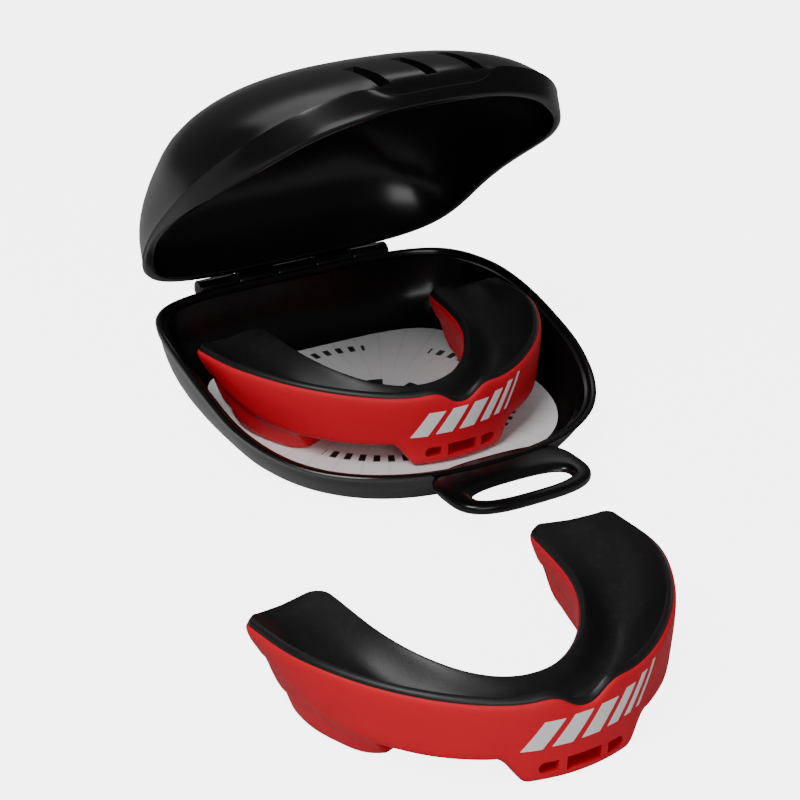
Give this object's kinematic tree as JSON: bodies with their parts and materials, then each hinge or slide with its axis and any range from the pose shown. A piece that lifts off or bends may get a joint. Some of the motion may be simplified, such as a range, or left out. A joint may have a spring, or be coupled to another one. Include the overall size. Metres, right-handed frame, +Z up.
{
  "type": "boxing mouthguard with hinged carry case",
  "caption": "U-shaped red and black boxing mouthguard lying in an open hinged plastic carry case with a loop tab, and a matching mouthguard standing in front of it.",
  "frame": {"origin": "centre of the flat underside of the case base", "axes": "+X to the right seen from the front, +Y to the back where the hinge is, +Z up"},
  "size_m": [0.1008, 0.1532, 0.0724],
  "materials": {
    "case_black": "satin black moulded polypropylene",
    "pin_steel": "plain steel wire",
    "card_white": "smooth white card with grey and black print",
    "guard_red": "satin red moulded EVA",
    "liner_black": "matte black gel liner"
  },
  "bodies": {
    "case": {"case_base": "case_black", "hinge_pin": "pin_steel", "carry_loop": "case_black", "insert_card": "card_white"},
    "lid": {"case_lid": "case_black"},
    "cased_guard": {"cased_guard_shell": "guard_red", "cased_guard_liner": "liner_black", "cased_guard_vent_block": "guard_red", "cased_guard_bite_pad_left": "guard_red", "cased_guard_bite_pad_right": "guard_red"},
    "front_guard": {"front_guard_shell": "guard_red", "front_guard_liner": "liner_black", "front_guard_vent_block": "guard_red", "front_guard_bite_pad_left": "guard_red", "front_guard_bite_pad_right": "guard_red"}
  },
  "joints": [
    {"name": "lid_hinge", "type": "hinge", "parent": "case", "child": "lid", "pos_m": [0, 0.0357, 0.0163], "axis": [-1, 0, 0], "range_deg": [-48, 40]},
    {"name": "cased_guard_out", "type": "slide", "parent": "case", "child": "cased_guard", "axis": [0, -0.766, 0.6428], "range_m": [0, 0.11]},
    {"name": "front_guard_lift", "type": "slide", "parent": "case", "child": "front_guard", "axis": [0, 0, 1], "range_m": [0, 0.05]}
  ]
}
